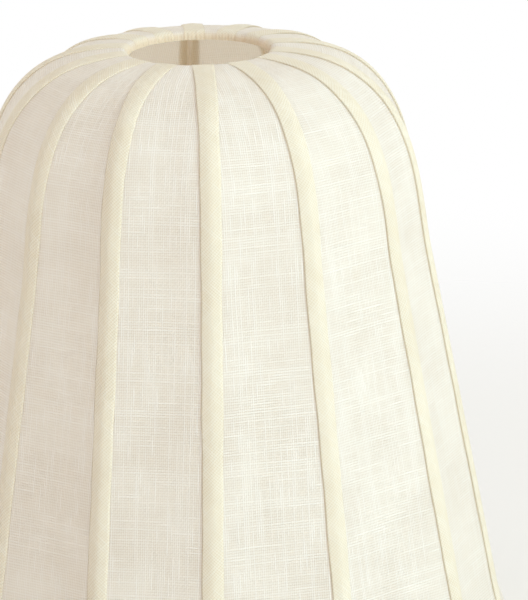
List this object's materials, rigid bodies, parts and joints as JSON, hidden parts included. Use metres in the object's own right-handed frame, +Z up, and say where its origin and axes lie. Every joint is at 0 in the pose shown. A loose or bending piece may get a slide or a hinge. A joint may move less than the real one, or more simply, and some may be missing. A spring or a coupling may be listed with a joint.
{
  "type": "lamp shade",
  "caption": "Dome-shaped linen lamp shade: cloth panels stretched over a ribbed wire frame, folded tapes over the ribs, open at top and bottom, with a recessed fitter ring.",
  "frame": {"origin": "centre of the bottom rim, on the surface that the shade stands on", "axes": "+Z up along the shade's axis, -Y towards the front, +X to the right seen from the front"},
  "size_m": [0.315, 0.315, 0.32],
  "materials": {
    "panel_linen": "slubby plain-weave linen, matt, lets light through",
    "tape_linen": "same cloth cut on the bias and folded double, matt",
    "frame_wire": "off-white satin paint on steel wire"
  },
  "bodies": {
    "root": {"top_ring": "frame_wire", "bottom_ring": "frame_wire", "rib_wire_01": "frame_wire", "rib_wire_02": "frame_wire", "rib_wire_03": "frame_wire", "rib_wire_04": "frame_wire", "rib_wire_05": "frame_wire", "rib_wire_06": "frame_wire", "rib_wire_07": "frame_wire", "rib_wire_08": "frame_wire", "rib_wire_09": "frame_wire", "rib_wire_10": "frame_wire", "rib_wire_11": "frame_wire", "rib_wire_12": "frame_wire", "rib_wire_13": "frame_wire", "rib_wire_14": "frame_wire", "fitter_ring": "frame_wire", "fitter_arm_1": "frame_wire", "fitter_arm_2": "frame_wire", "fitter_arm_3": "frame_wire", "fabric_panel_01": "panel_linen", "fabric_panel_02": "panel_linen", "fabric_panel_03": "panel_linen", "fabric_panel_04": "panel_linen", "fabric_panel_05": "panel_linen", "fabric_panel_06": "panel_linen", "fabric_panel_07": "panel_linen", "fabric_panel_08": "panel_linen", "fabric_panel_09": "panel_linen", "fabric_panel_10": "panel_linen", "fabric_panel_11": "panel_linen", "fabric_panel_12": "panel_linen", "fabric_panel_13": "panel_linen", "fabric_panel_14": "panel_linen", "rib_tape_01": "tape_linen", "rib_tape_02": "tape_linen", "rib_tape_03": "tape_linen", "rib_tape_04": "tape_linen", "rib_tape_05": "tape_linen", "rib_tape_06": "tape_linen", "rib_tape_07": "tape_linen", "rib_tape_08": "tape_linen", "rib_tape_09": "tape_linen", "rib_tape_10": "tape_linen", "rib_tape_11": "tape_linen", "rib_tape_12": "tape_linen", "rib_tape_13": "tape_linen", "rib_tape_14": "tape_linen", "bottom_binding": "tape_linen"}
  },
  "joints": []
}
